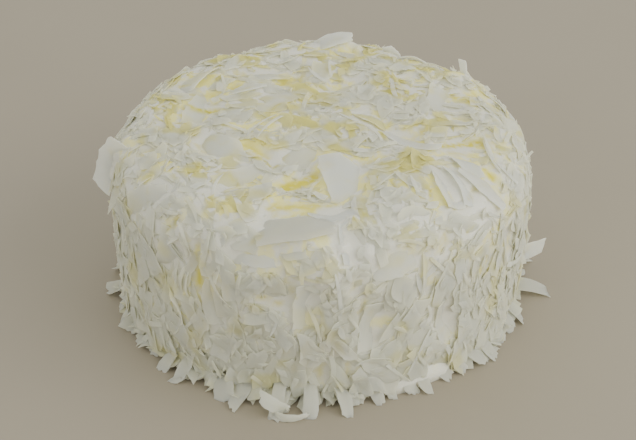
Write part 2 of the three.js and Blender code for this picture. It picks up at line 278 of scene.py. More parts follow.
# A socket of a node tree. Sums on sockets are written as plain sums, and every other node comes from node().
class Wire:
    def __init__(self, tree, socket=None):
        self.tree = tree
        self.socket = socket

    def node(self, kind, settings=None, sockets=None, output=0):
        made = self.tree.nodes.new(kind)
        for name, value in (settings or {}).items():
            setattr(made, name, value)
        for key, value in (sockets or {}).items():
            target = made.inputs[key] if isinstance(key, int) else named_socket(made.inputs, key)
            if isinstance(value, Wire):
                self.tree.links.new(value.socket, target)
            else:
                target.default_value = value
        found = made.outputs[output] if isinstance(output, int) else named_socket(made.outputs, output)
        return Wire(self.tree, found)

    def maths(self, operation, *values):
        return self.node("ShaderNodeMath", {"operation": operation}, dict(enumerate(values)))

    def vectors(self, operation, *values):
        return self.node("ShaderNodeVectorMath", {"operation": operation}, dict(enumerate(values)))

    def other(self, output):
        return Wire(self.tree, named_socket(self.socket.node.outputs, output))

    # From 0 to 1 as the value goes from low to high.
    def ramp(self, low, high):
        sockets = {"Value": self, "From Min": low, "From Max": high}
        return self.node("ShaderNodeMapRange", {"interpolation_type": "SMOOTHSTEP"}, sockets)

    # The first colour where this value is 0, and the second where it is 1.
    def colours(self, first, second):
        sockets = {"Factor_Float": self, "A_Color": first, "B_Color": second}
        return self.node("ShaderNodeMix", {"data_type": "RGBA"}, sockets, "Result_Color")

    def attribute(self, name, output="Fac"):
        return self.node("ShaderNodeAttribute", {"attribute_name": name}, {}, output)

    def noise(self, place, scale, detail=2.0):
        return self.node("ShaderNodeTexNoise", {}, {"Vector": place, "Scale": scale, "Detail": detail})

    def bump(self, height, strength, distance):
        sockets = {"Height": height, "Strength": strength, "Distance": distance}
        return self.node("ShaderNodeBump", {}, sockets)

    __add__, __radd__ = both_ways("ADD")
    __sub__, __rsub__ = both_ways("SUBTRACT")
    __mul__, __rmul__ = both_ways("MULTIPLY")
    __truediv__, __rtruediv__ = both_ways("DIVIDE")
    __pow__, __rpow__ = both_ways("POWER")


# The sizes that every flake has of its own. Near and far are the widths of its ends, as a share of its
# greatest width, which is at the peak.
FLAKE_SIZES = ("length", "width", "bend", "cup", "twist", "bow", "near", "far", "peak", "taper", "skew",
               "middle", "seed")
FLAKE_LENGTHS = ("length", "width", "cup", "twist", "bow", "skew", "middle")

# A flake is a shallow arc, whose bend in radians is eight times its height over its length. Its middle is
# set back by a share of that height, and the middle line of a cupped one by a share of the cup.
BEND_OF_ARC = 8
MIDDLE_SHARE = 0.4
CUP_SHARE = 0.33


# One flake: its sizes, where its middle is and how its axes lie, its tone, how deep it lies under others,
# how much painted shade it has, and how clear it is kept of what is strewn.
class Flake:
    def __init__(self, length, width, bend, cup, twist, bow, ends, peak=0.0, taper=1.0, skew=0.0):
        self.length, self.width = length, width
        self.bend, self.cup, self.twist, self.bow = bend, cup, twist, bow
        self.near, self.far = ends
        self.peak, self.taper, self.skew = peak, taper, skew
        self.middle = -MIDDLE_SHARE * length * bend / BEND_OF_ARC
        self.seed = strewn.uniform(0, 1000)
        self.tone = strewn.uniform(0, 1)
        self.depth = 0.0
        self.painted_shade = 0.0
        self.clear = 1.0
        self.origin = np.zeros(3)
        self.axes = np.eye(3)

    # Points of its middle surface, near enough for it to be laid down by.
    def points(self):
        spacing = 2.5
        along = np.linspace(-1, 1, max(2, math.ceil(self.length / spacing)) + 1)
        across = np.linspace(-1, 1, max(1, math.ceil(self.width / spacing)) + 1)
        t, e = (grid.ravel() for grid in np.meshgrid(along, across, indexing="ij"))
        near_end = np.maximum(0, self.peak - t) / (1 + self.peak)
        far_end = np.maximum(0, t - self.peak) / (1 - self.peak)
        share = 1 - (1 - self.near) * near_end ** self.taper - (1 - self.far) * far_end ** self.taper
        angle = t * self.bend / 2
        radius = self.length / self.bend
        out = self.twist * e * t + self.cup * (e * e - CUP_SHARE)
        x = (radius - out) * np.sin(angle) + self.skew * e * t * t
        y = e * share * self.width / 2 + self.bow * (t * t - 0.5)
        z = radius * (1 - np.cos(angle)) + self.middle + out * np.cos(angle)
        return np.stack((x, y, z), axis=-1)

    def placed(self):
        return self.origin + self.points() @ self.axes.T


# What the tree of the flakes is given: name, kind and usual value.
TREE_INPUTS = (
    ("Places", "Geometry", None),
    ("Steps Along", "Int", 6),
    ("Steps Across", "Int", 3),
    ("Thickness", "Float", 0.8 * MM),
    ("Ragged Edge", "Float", 0.2),
    ("Ragged End", "Float", 0.15),
    ("Ripple", "Float", 0.5 * MM),
    ("Seed", "Float", 0.0),
    ("Finish", "Material", None),
)

# The edges, the ends and the ripple of a flake each have a noise of their own: where it is read, and its
# scale. Opposite sides of a flake are read apart, so that they differ.
EDGE_NOISE = (0.0, 3.0)
END_NOISE = (9.0, 2.0)
RIPPLE_NOISE = (30.0, 1.1)
SIDES_APART = 5

# How much thinner a flake is at its edges and its ends.
EDGE_THINNING = 0.45
END_THINNING = 0.4


# The tree that makes a flake at every point of a mesh, from the sizes that the point carries.
def flake_tree():
    tree = bpy.data.node_groups.new("coconut flakes", "GeometryNodeTree")
    for name, kind, value in TREE_INPUTS:
        socket = tree.interface.new_socket(name=name, in_out="INPUT", socket_type="NodeSocket" + kind)
        if value is not None:
            socket.default_value = value
    tree.interface.new_socket(name="Flakes", in_out="OUTPUT", socket_type="NodeSocketGeometry")
    sheet = Wire(tree)
    given = sheet.node("NodeGroupInput")

    def own(name, kind="FLOAT"):
        return sheet.node("GeometryNodeInputNamedAttribute", {"data_type": kind}, {"Name": name})

    def joined(x, y, z):
        return sheet.node("ShaderNodeCombineXYZ", {}, {"X": x, "Y": y, "Z": z})

    def stored(geometry, name, value, kind="FLOAT"):
        sockets = {"Geometry": geometry, "Name": name, "Value": value}
        return sheet.node("GeometryNodeStoreNamedAttribute", {"data_type": kind, "domain": "POINT"}, sockets)

    plate = sheet.node("GeometryNodeMeshCube", {}, {
        "Vertices X": given.other("Steps Along"), "Vertices Y": given.other("Steps Across"), "Vertices Z": 2})
    plate = stored(plate, "place", sheet.node("GeometryNodeInputPosition"), "FLOAT_VECTOR")
    laid = sheet.node("GeometryNodeInstanceOnPoints", {}, {"Points": given, "Instance": plate})
    flakes = sheet.node("GeometryNodeRealizeInstances", {}, {"Geometry": laid})

    size = {name: own(name) for name in FLAKE_SIZES}
    place = sheet.node("ShaderNodeSeparateXYZ", {}, {0: own("place", "FLOAT_VECTOR")})
    t, e, side = place * 2, place.other("Y") * 2, place.other("Z") * 2
    seed = size["seed"] + given.other("Seed")

    def uneven(x, y, z, scale):
        found = sheet.node("ShaderNodeTexNoise", {"noise_dimensions": "4D", "normalize": True},
                           {"Vector": joined(x, y, z), "W": seed, "Scale": scale, "Detail": 2.0})
        return found * 2 - 1

    edge_noise = uneven(t, sheet.maths("SIGN", e) * SIDES_APART, *EDGE_NOISE)
    end_noise = uneven(e, sheet.maths("SIGN", t) * SIDES_APART, *END_NOISE)
    near_end = sheet.maths("MAXIMUM", size["peak"] - t, 0.0) / (size["peak"] + 1)
    far_end = sheet.maths("MAXIMUM", t - size["peak"], 0.0) / (1 - size["peak"])
    share = 1 - (1 - size["near"]) * near_end ** size["taper"] - (1 - size["far"]) * far_end ** size["taper"]
    share = share * (1 + given.other("Ragged Edge") * edge_noise)
    t_squared, e_squared = t * t, e * e
    reach = t * (1 + given.other("Ragged End") * end_noise * t_squared * t_squared)
    angle = reach * size["bend"] / 2
    radius = size["length"] / size["bend"]
    sine, cosine = sheet.maths("SINE", angle), sheet.maths("COSINE", angle)
    thinner = (1 - EDGE_THINNING * e_squared * e_squared) * (1 - END_THINNING * t_squared * t_squared)
    out = size["twist"] * e * t + size["cup"] * (e_squared - CUP_SHARE)
    out = out + side * given.other("Thickness") / 2 * thinner
    out = out + given.other("Ripple") * uneven(t, e, *RIPPLE_NOISE)
    x = (radius - out) * sine + size["skew"] * e * t_squared
    y = e * share * size["width"] / 2 + size["bow"] * (t_squared - 0.5)
    z = radius * (1 - cosine) + size["middle"] + out * cosine
    turn = sheet.node("FunctionNodeEulerToRotation", {}, {0: own("turn", "FLOAT_VECTOR")})
    form = sheet.node("FunctionNodeRotateVector", {}, {"Vector": joined(x, y, z), "Rotation": turn})
    flakes = sheet.node("GeometryNodeSetPosition", {}, {
        "Geometry": flakes, "Position": sheet.vectors("ADD", own("origin", "FLOAT_VECTOR"), form)})
    grain = joined(reach * size["length"] / 2, y, seed)
    rim = sheet.maths("MAXIMUM", e_squared * e_squared, t_squared * t_squared)
    flakes = stored(stored(flakes, "grain", grain, "FLOAT_VECTOR"), "rim", rim)
    finish = given.other("Finish")
    flakes = sheet.node("GeometryNodeSetMaterial", {}, {"Geometry": flakes, "Material": finish})
    end = tree.nodes.new("NodeGroupOutput")
    tree.links.new(flakes.socket, end.inputs[0])
    return tree


# Deep gaps between the flakes, where the light that comes through them is yellow: the around and along of
# both ends, the half width and how strong the yellow is.
HOLLOWS = [
    (-115, 107, -120, 131, 2.0, 0.6), (-104, 123, -105, 139, 2.4, 1.0), (-142, 122, -144, 129, 2.6, 0.7),
    (168, 110, 165, 113, 2.4, 0.6), (95, 118, 96, 124, 2.0, 0.4), (72, 131, 79, 116, 1.8, 1.0),
    (79, 116, 80, 112, 3.4, 1.0), (69, 124, 72, 111, 2.0, 0.5), (66, 102, 65, 96, 2.4, 1.0),
    (-16, 133, -4, 144, 4.4, 1.0), (-18, 114, 6, 121, 2.4, 0.8),
    (-90, 107, -89, 112, 2.8, 0.5), (-77, 100, -76, 105, 2.8, 0.6), (-34, 57, -34, 66, 2.2, 0.8),
    (-17, 62, -10, 57, 1.6, 0.5), (49, 55, 51, 61, 2.2, 0.7), (34, 78, 36, 85, 2.6, 0.5),
    (-60, 150, -40, 152, 2.4, 0.6), (120, 140, 135, 146, 2.2, 0.6), (30, 150, 44, 146, 2.0, 0.5),
    (-170, 140, -150, 146, 2.2, 0.6), (105, 98, 112, 101, 2.2, 0.6), (150, 90, 156, 94, 2.4, 0.6),
    (-160, 96, -150, 99, 2.2, 0.6), (-128, 60, -126, 68, 2.2, 0.6), (175, 50, 177, 58, 2.2, 0.6),
    (118, 40, 120, 47, 2.0, 0.5),
]

# Fainter ones are scattered over all of it: how many, the shares of the coat that they lie between, and
# the least and most length, half width and strength.
FAINT_HOLLOWS = 60
FAINT_SHARES = (0.05, 0.95)
FAINT_LIMITS = ((4, 12), (1.2, 2.2), (0.3, 0.7))
for _ in range(FAINT_HOLLOWS):
    length, half_width, strength = (strewn.uniform(*limits) for limits in FAINT_LIMITS)
    start = (strewn.uniform(-180, 180), along_at_share(strewn.uniform(*FAINT_SHARES)))
    direction = math.radians(strewn.uniform(*turns_at(start[1])))
    middle, axes = place_on_icing(*start)
    ahead = axes[:, 0] * math.cos(direction) + axes[:, 1] * math.sin(direction)
    HOLLOWS.append((*start, *around_and_along(middle + length * ahead), half_width, strength))

# A hollow is deeper than it is wide, so most of a point's distance outwards from it is left out.
OUTWARDS_LEFT_OUT = 0.8


# How far each point in millimetres lies in a hollow, from 0 to 1.
def in_hollow(points):
    share = np.zeros(len(points))
    for around, along, far_around, far_along, half_width, strength in HOLLOWS:
        (start, axes), end = place_on_icing(around, along), place_on_icing(far_around, far_along)[0]
        ahead = end - start
        position = np.clip((points - start) @ ahead / (ahead @ ahead), 0, 1)
        away = points - start - position[:, None] * ahead
        away = away - OUTWARDS_LEFT_OUT * (away @ axes[:, 2])[:, None] * axes[:, 2]
        near = 1 - np.linalg.norm(away, axis=1) / half_width
        share = np.maximum(share, strength * np.clip(2 * near, 0, 1))
    return share


# The form of the flakes of each piece, in the order in which the pieces are made, and the tree's inputs
# that its values are given to.
FORM_INPUTS = ("Steps Along", "Steps Across", "Thickness", "Ragged Edge", "Ragged End", "Ripple")
FORMS = {
    "broad_flakes": (15, 6, 0.7 * MM, 0.3, 0.2, 0.4 * MM),
    "blunt_flakes": (11, 6, 0.9 * MM, 0.12, 0.14, 0.4 * MM),
    "strewn_broad_flakes": (8, 4, 0.6 * MM, 0.3, 0.2, 0.3 * MM),
    "foot_flakes": (11, 6, 0.9 * MM, 0.3, 0.4, 0.5 * MM),
    "foot_curls": (16, 6, 0.8 * MM, 0.4, 0.3, 1.0 * MM),
    "foot_shards": (7, 4, 0.6 * MM, 0.35, 0.35, 0.4 * MM),
    "flakes": (7, 4, 0.45 * MM, 0.35, 0.3, 0.25 * MM),
    "narrow_flakes": (8, 3, 0.4 * MM, 0.4, 0.2, 0.25 * MM),
    "shavings": (9, 2, 0.4 * MM, 0.3, 0.05, 0.3 * MM),
    "crumbs": (4, 3, 0.4 * MM, 0.35, 0.3, 0.2 * MM),
}


# A piece made of flakes, as one plain mesh that keeps the depth, the tone, the painted shade, the grain and
# the rim of each.
def piece_of_flakes(name, flakes, tree, finish):
    places = bpy.data.meshes.new(name + " places")
    origins = np.array([flake.origin for flake in flakes]) * MM
    places.from_pydata(origins.tolist(), [], [])
    for size in FLAKE_SIZES + ("depth", "tone", "painted_shade"):
        scale = MM if size in FLAKE_LENGTHS else 1
        values = np.array([getattr(flake, size) for flake in flakes], dtype=np.float32) * scale
        places.attributes.new(size, "FLOAT", "POINT").data.foreach_set("value", values)
    turns = np.array([Matrix(flake.axes.tolist()).to_euler() for flake in flakes], dtype=np.float32)
    for size, values in (("origin", origins.astype(np.float32)), ("turn", turns)):
        places.attributes.new(size, "FLOAT_VECTOR", "POINT").data.foreach_set("vector", values.ravel())
    holder = bpy.data.objects.new(name + " places", places)
    bpy.context.scene.collection.objects.link(holder)
    modifier = holder.modifiers.new("flakes", "NODES")
    modifier.node_group = tree
    inputs = dict(zip(FORM_INPUTS, FORMS[name]), Finish=finish)
    for item in tree.interface.items_tree:
        if item.in_out == "INPUT" and item.name in inputs:
            modifier[item.identifier] = inputs[item.name]
    bpy.context.view_layer.update()
    seen = holder.evaluated_get(bpy.context.evaluated_depsgraph_get())
    mesh = bpy.data.meshes.new_from_object(seen)
    bpy.data.objects.remove(holder)
    for spent in FLAKE_SIZES + ("place", "origin", "turn"):
        mesh.attributes.remove(mesh.attributes[spent])
    cut_at_foot(mesh)
    mark_hollows(mesh)
    return finished(name, mesh, finish)


def mark_hollows(mesh):
    points = np.empty(3 * len(mesh.vertices))
    mesh.vertices.foreach_get("co", points)
    share = in_hollow(points.reshape(-1, 3) / MM).astype(np.float32)
    mesh.attributes.new("hollow", "FLOAT", "POINT").data.foreach_set("value", share)


CUT_TOLERANCE = 1e-7


# Cuts away what reaches below the surface that the cake stands on, and closes the cuts.
def cut_at_foot(mesh):
    form = bmesh.new()
    form.from_mesh(mesh)
    everything = form.verts[:] + form.edges[:] + form.faces[:]
    cut = bmesh.ops.bisect_plane(form, geom=everything, dist=CUT_TOLERANCE, plane_co=(0, 0, 0),
                                 plane_no=(0, 0, -1), clear_outer=True)
    edges = [part for part in cut["geom_cut"] if isinstance(part, bmesh.types.BMEdge) and part.is_boundary]
    if edges:
        bmesh.ops.holes_fill(form, edges=edges, sides=0)
    form.to_mesh(mesh)
    form.free()


SHARP_EDGE = math.radians(38)


def finished(name, mesh, finish):
    mesh.shade_smooth()
    mesh.set_sharp_from_angle(angle=SHARP_EDGE)
    mesh.materials.clear()
    mesh.materials.append(finish)
    piece = bpy.data.objects.new(name, mesh)
    bpy.context.scene.collection.objects.link(piece)
    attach(piece, "root")
    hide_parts(CAKE)
    return piece


# The form of a flake of the solids: the least and most of its curl as a share of its length, how many curl
# towards the icing, and the least and most of its twist and its bow as shares of its width. A long one is
# widest at a third of its half length, and the cup is added here.
CURL = (0.03, 0.11)
CURLED_IN = 0.7
TWIST = (-0.08, 0.08)
BOW = (-0.18, 0.18)
LONG_SECOND_WIDTH = (0.85, 1)
LONG_PEAK = 1 / 3
CUP = (-0.05, 0.08)


# A flake with the form that the solids have. They draw a second width for a long one, so it is drawn here
# too, but it isn't used.
def broad_flake(length, width, ends=COAT_ENDS):
    near, far = between(*ends[0]), between(*ends[1])
    peak = 0.0
    if length > LONG_FLAKE:
        between(*LONG_SECOND_WIDTH)
        peak = LONG_PEAK
    curl = length * between(*CURL) * (-1 if draw() < CURLED_IN else 1)
    twist = width * between(*TWIST)
    bow = width * between(*BOW)
    cup = width * strewn.uniform(*CUP)
    return Flake(length, width, BEND_OF_ARC * curl / length, cup, twist, bow, (near, far), peak)


# Where a flake of the solids lies: its origin and its axes.
def place_on_coat(around, along, length, width, turn, lean, tip, sink=FLAKE_SINK):
    lift = abs(math.sin(math.radians(lean))) * width / 2 + abs(math.sin(math.radians(tip))) * length / 2
    origin, axes = place_on_icing(around, along)
    origin = origin + axes[:, 2] * (lift - sink)
    return origin, axes @ turned("Z", turn) @ turned("Y", -tip) @ turned("X", lean)


def at_foot(degrees, radius, height):
    angle = math.radians(degrees)
    return np.array((radius * math.sin(angle), -radius * math.cos(angle), height))


# A flake at the foot runs from its root in the side down to the surface that the cake stands on.
def place_at_foot(around, reach, root_height, swing, tip_height=FLAKE_THICKNESS / 2):
    root = at_foot(around, FOOT_RADIUS - COAT_DEPTH - 2 * FLAKE_SINK, root_height)
    sideways = math.degrees(reach * math.sin(math.radians(swing)) / FOOT_RADIUS)
    tip = at_foot(around + 2 * sideways, FOOT_RADIUS + reach, tip_height)
    length = np.linalg.norm(tip - root)
    outwards = (tip - root) / length
    sidewards = np.cross((0, 0, 1), outwards)
    sidewards /= np.linalg.norm(sidewards)
    axes = np.column_stack((outwards, sidewards, np.cross(outwards, sidewards)))
    return (root + tip) / 2, axes, length


# The flakes that stand out furthest are blunt: their ends are nearly as wide as their middles.
BLUNT_ENDS = (0.92, 0.96)
BLUNT_REACH = 17

# How much painted shade a shown flake that faces down has, by its number in their list, counted from 0, and
# how much the flakes at the foot have.
PAINTED_SHADE_FLAKES = {1: 0.8}
FOOT_PAINTED_SHADE = 0.8

# Of the shown flakes, the first ones are kept clear of what is strewn, and the rest partly.
CLEAR_COUNT = 18
PARTLY_CLEAR = 0.5


# The flakes that the solids have come from these functions, which draw in the order that the solids do:
# the shown ones, those at the foot and the spread ones. The first two give the blunt ones apart.
def shown_flakes():
    shown, blunt = [], []
    for index, place in enumerate(SHOWN_FLAKES):
        steep = place[6] > STEEP_TIP
        flake = broad_flake(place[2], place[3], FOOT_ENDS if steep else COAT_ENDS)
        flake.origin, flake.axes = place_on_coat(*place)
        if steep:
            flake.near, flake.far = BLUNT_ENDS
        flake.painted_shade = PAINTED_SHADE_FLAKES.get(index, 0.0)
        flake.clear = 1 if index < CLEAR_COUNT else PARTLY_CLEAR
        (blunt if steep else shown).append(flake)
    return shown, blunt


def back_foot_places():
    places = []
    around, last = BACK_FOOT_ENDS
    while around < last:
        reach, width, root_height, swing = (between(*limits) for limits in BACK_FOOT_LIMITS)
        places.append((around + between(*AROUND_SHIFT), reach, width, root_height, swing))
        around += BACK_FOOT_STEP
    return places


def foot_flakes():
    foot, blunt = [], []
    for around, reach, width, root_height, swing in FRONT_FOOT_FLAKES + back_foot_places():
        origin, axes, length = place_at_foot(around, reach, root_height, swing)
        axes = axes @ turned("X", between(*FOOT_ROLL))
        flake = broad_flake(length, width, FOOT_ENDS)
        flake.origin, flake.axes = origin, axes @ turned("Z", strewn.uniform(-14, 14))
        flake.width *= strewn.uniform(0.7, 1.0)
        flake.near, flake.far = np.array((flake.near, flake.far)) * strewn.uniform(0.8, 1.0, 2)
        flake.peak, flake.taper = strewn.uniform(0.0, 0.7), strewn.uniform(1.0, 2.0)
        flake.skew = width * strewn.uniform(-0.2, 0.2)
        flake.painted_shade = FOOT_PAINTED_SHADE
        if reach > BLUNT_REACH:
            flake.near, flake.far = BLUNT_ENDS
            flake.skew = 0.0
        (blunt if reach > BLUNT_REACH else foot).append(flake)
    return foot, blunt


def is_free(around, along, length):
    here = place_on_icing(around, along)[0]
    for shown in SHOWN_FLAKES:
        needed = CLEAR_OF_OWN_LENGTH * length + CLEAR_OF_SHOWN_SIZE * (shown[2] + shown[3])
        if np.linalg.norm(here - place_on_icing(shown[0], shown[1])[0]) <= needed:
            return False
    return True


def spread_flakes():
    places = []
    for number in range(SPREAD_COUNT):
        lengths, widths, leans = SPREAD_KINDS[number % len(SPREAD_KINDS)]
        around = math.fmod(number * GOLDEN_ANGLE + between(*AROUND_SHIFT), 360) - 180
        along = along_at_share((number + 0.5) / SPREAD_COUNT)
        length, width, lean = between(*lengths), between(*widths), between(*leans)
        turn = between(*turns_at(along))
        lean = -lean if draw() < 0.5 else lean
        place = (around, along, length, width, turn, lean, between(*SPREAD_TIP))
        if is_free(around, along, length):
            places.append(place)
    spread = []
    for place in places:
        flake = broad_flake(place[2], place[3])
        flake.origin, flake.axes = place_on_coat(*place)
        spread.append(flake)
    return spread


# Where the icing shows as a low bead along the foot: the middle and the half width of that stretch around,
# the bead's height, the half width of its arc as a share of that, how far it stands out past the coat and
# how much of the icing's relief it has. Flakes aren't strewn on it, or within a margin over it.
BEAD_STRETCH = (29, 17)
BEAD_HEIGHT = 7
BEAD_ARC = 0.75
BEAD_OUT = 0.1
BEAD_RELIEF = 1.5
BEAD_MARGIN = 6


def degrees_apart(around, other):
    return abs((around - other + 180) % 360 - 180)


# How much of the bead there is at a place, from 0 to 1.
def bead_share(around):
    middle, half_width = BEAD_STRETCH
    return np.clip(2 * (1 - degrees_apart(around, middle) / half_width), 0, 1)


HANGING_SHARE = 0.65


# On the side most flakes hang near upright, and on the shoulder and the top they point every way.
def any_turn(along):
    if along < SIDE_HEIGHT and strewn.random() < HANGING_SHARE:
        return strewn.uniform(*HANGING_TURNS)
    return strewn.uniform(*ANY_TURNS)


# The pile's cells, and how flakes are laid on it. Of the places tried the lowest is taken, and one that is
# kept clear, or has more than a little of a hollow, counts as higher.
CELL = 2.5
FOOT_CLEARANCE = 1.0
SHOWN_WEIGHT = 9.0
HOLLOW_WEIGHT = 30.0
LITTLE_HOLLOW = 0.1

# A flake turns by a share of the slope that it is laid on, up to a most in degrees. Its middle may stand out
# past the coat by no more than a height drawn between these. Under this much of the pile it is fully deep.
SLOPE_SHARE = 0.85
SLOPE_MOST = 11
OVER_COAT = (-0.6, 0.8)
DEEPEST = 3.5

# Where the pile is read to even it out: rings around a point, as shares of a distance, and the spots on
# each. The first spot's direction is askew to this one.
EVENING_RINGS = ((0.0, 1), (0.5, 6), (1.0, 10))
ASKEW = (0.31, 0.17, 0.93)


# How high the flakes are piled over the icing, in cells that run round the cake in rings.
class Pile:
    def __init__(self):
        self.rings = math.ceil(WHOLE_LENGTH / CELL)
        middles = (np.arange(self.rings) + 0.5) * CELL
        self.counts = np.array([max(1, round(2 * math.pi * coat(middle)[0] / CELL)) for middle in middles])
        self.starts = np.cumsum(self.counts) - self.counts
        self.heights = np.zeros(self.counts.sum())
        self.shown = np.zeros(self.counts.sum())
        middles = [place_on_icing(360 * (sector + 0.5) / self.counts[ring], (ring + 0.5) * CELL)[0]
                   for ring in range(self.rings) for sector in range(self.counts[ring])]
        self.hollow = in_hollow(np.array(middles)) > LITTLE_HOLLOW

    # The cell that each point is over and its height over the icing.
    def find(self, points):
        x, y, z = np.moveaxis(points, -1, 0)
        radius = np.hypot(x, y)
        share = np.arctan2(x, -y) / (2 * math.pi) % 1
        up = np.clip(z, 0, SIDE_HEIGHT)
        side_radius = FOOT_RADIUS + (WAIST_RADIUS - FOOT_RADIUS) * np.sin(math.pi / 2 * up / SIDE_HEIGHT)
        angle = np.arctan2(z - SIDE_HEIGHT, np.maximum(radius - TOP_RADIUS, 0.001))
        on_side = z < SIDE_HEIGHT
        on_top = ~on_side & (radius < TOP_RADIUS)
        along = np.where(on_side, z, SIDE_HEIGHT + SHOULDER_RADIUS * angle)
        along = np.where(on_top, WHOLE_LENGTH - radius, along)
        height = np.where(on_side, radius - side_radius,
                          np.hypot(radius - TOP_RADIUS, z - SIDE_HEIGHT) - SHOULDER_RADIUS)
        height = np.where(on_top, z - COAT_HEIGHT + CROWN * (radius / TOP_RADIUS) ** 2, height)
        ring = np.clip((along / CELL).astype(int), 0, self.rings - 1)
        cell = self.starts[ring] + np.minimum((share * self.counts[ring]).astype(int), self.counts[ring] - 1)
        return cell, height + COAT_DEPTH - swell(points)

    def lay(self, flake):
        cell, height = self.find(flake.placed())
        np.maximum.at(self.heights, cell, height + FLAKE_THICKNESS / 2)

    # The height of the pile at each point, evened out over what lies within a distance of it.
    def evened(self, points, outwards, distance):
        across = np.cross(ASKEW, outwards)
        across /= np.linalg.norm(across, axis=1)[:, None]
        along = np.cross(outwards, across)
        total = np.zeros(len(points))
        for ring, spots in EVENING_RINGS:
            for spot in range(spots):
                angle = 2 * math.pi * spot / spots
                step = ring * distance * (math.cos(angle) * across + math.sin(angle) * along)
                total += self.heights[self.find(points + step)[0]]
        return total / sum(spots for _, spots in EVENING_RINGS)

    # Lays a flake along the slope that it finds. The clear share of it lies clear of what is under it,
    # unless it would then stand more than over past the coat.
    def lay_on_slope(self, flake, out, clear_share, over, lean=0.0):
        form = flake.points()
        cell, height = self.find(flake.placed())
        gap = self.heights[cell] - height
        fit = np.column_stack((np.ones(len(form)), form[:, :2]))
        slopes = np.degrees(np.arctan(np.linalg.lstsq(fit, gap, rcond=None)[0][1:])) * SLOPE_SHARE
        tip, roll = np.clip(slopes, -SLOPE_MOST, SLOPE_MOST) + strewn.normal(0, lean, 2)
        flake.axes = flake.axes @ turned("Y", -tip) @ turned("X", roll)
        cell, height = self.find(flake.placed())
        rise = np.quantile(self.heights[cell] - height, clear_share)
        flake.origin = flake.origin + out * min(rise, COAT_DEPTH + over - height.mean())
        lowest_point = flake.placed()[:, 2].min() - FLAKE_THICKNESS / 2
        flake.origin[2] += max(0, -lowest_point)
        self.lay(flake)

    # Lays a flake in the lowest of a few places.
    def settle(self, flake, tries, lean, clear_share):
        form = flake.points()
        best = math.inf
        while tries:
            around = strewn.uniform(-180, 180)
            along = along_at_share(strewn.random())
            if along < BEAD_HEIGHT + BEAD_MARGIN and strewn.random() < bead_share(around):
                continue
            tries -= 1
            turn = any_turn(along)
            upright = abs(math.sin(math.radians(turn)))
            stands = (flake.length * upright + flake.width * (1 - upright)) / 2 + FOOT_CLEARANCE
            origin, axes = place_on_icing(around, max(along, stands))
            axes = axes @ turned("Z", turn)
            cell = self.find(origin + form @ axes.T)[0]
            score = self.heights[cell].mean() + SHOWN_WEIGHT * self.shown[cell].mean()
            score += HOLLOW_WEIGHT * self.hollow[cell].mean()
            if score < best:
                best = score
                flake.origin, flake.axes = origin, axes
        out = place_on_icing(*around_and_along(flake.origin))[1][:, 2]
        self.lay_on_slope(flake, out, clear_share, strewn.uniform(*OVER_COAT), lean)

    # How deep a flake lies under what was laid after it, from 0 to 1.
    def depth(self, flake):
        cell, height = self.find(flake.placed())
        return float(np.clip((self.heights[cell] - height).mean() / DEEPEST, 0, 1))


# What is strewn over the solids' flakes: the least and most length, width and bend of each piece's flakes.
STREWN = {
    "strewn_broad_flakes": ((18, 27), (11, 17), (0.05, 0.3)),
    "flakes": ((9, 18), (6, 11), (0.05, 0.35)),
    "narrow_flakes": ((9, 22), (2.8, 6), (0.05, 0.5)),
    "shavings": ((8, 21), (1.1, 2.6), (0.2, 1.2)),
    "crumbs": ((3.5, 8), (2, 5), (0.1, 0.5)),
}


# Shavings twist and bow more than the rest.
def strewn_flake(name):
    lengths, widths, bends = STREWN[name]
    length, width, bend = strewn.uniform(*lengths), strewn.uniform(*widths), strewn.uniform(*bends)
    bend = -bend if strewn.random() < 0.6 else bend
    cup = width * strewn.uniform(-0.04, 0.08)
    twist = width * strewn.uniform(-0.08, 0.08)
    bow = width * strewn.uniform(-0.15, 0.15)
    if name == "shavings":
        twist = width * strewn.uniform(-0.5, 0.5)
        bow = length * strewn.uniform(-0.09, 0.09)
    ends = strewn.uniform(0.3, 1.0, 2)
    peak, taper = strewn.uniform(-0.6, 0.6), strewn.uniform(1.0, 3.5)
    skew = width * strewn.uniform(-0.35, 0.35)
    return Flake(length, width, bend, cup, twist, bow, ends, peak, taper, skew)


# How far past the coat a sliver may stand.
SLIVER_RISE = 1.2

# Slivers that show clearly on top of everything: around and along of both ends, the width and the bow.
SLIVERS = (
    (-173, 136, 176, 151, 1.6, 1.5), (176, 126, 173, 146, 1.4, 0.5), (-60, 155, -104, 175, 1.8, -1.5),
    (-66, 151, -100, 169, 1.2, -1.2), (128, 182, 75, 171, 1.6, 1.0), (78, 168, 57, 155, 1.8, -1.0),
    (138, 137, 118, 148, 2.4, 1.0), (-48, 117, -48, 129, 1.8, 2.0), (-36, 103, -44, 124, 1.6, -1.5),
    (83, 111, 72, 101, 2.2, 0.5), (71, 102, 69, 83, 2.4, 1.0), (39, 123, 35, 111, 2.0, 0.5),
    (14, 125, 12, 107, 2.6, 1.5), (26, 70, 28, 57, 2.8, 0.5), (-13, 41, -10, 55, 1.4, 0.5),
    (24, 12, 32, 39, 1.8, -1.0), (28, 66, 36, 79, 3.0, 1.0), (6.5, 100, 9.5, 109, 1.8, 0.5),
    (4, 79, 5.5, 54, 2.0, -0.5), (-45, 77, -40, 68, 2.6, 1.0), (-118, 140, -140, 150, 1.6, 1.0),
    (170, 96, 160, 108, 1.8, 1.0), (-165, 60, -168, 82, 1.8, -1.0), (120, 70, 116, 92, 1.6, 1.0),
)


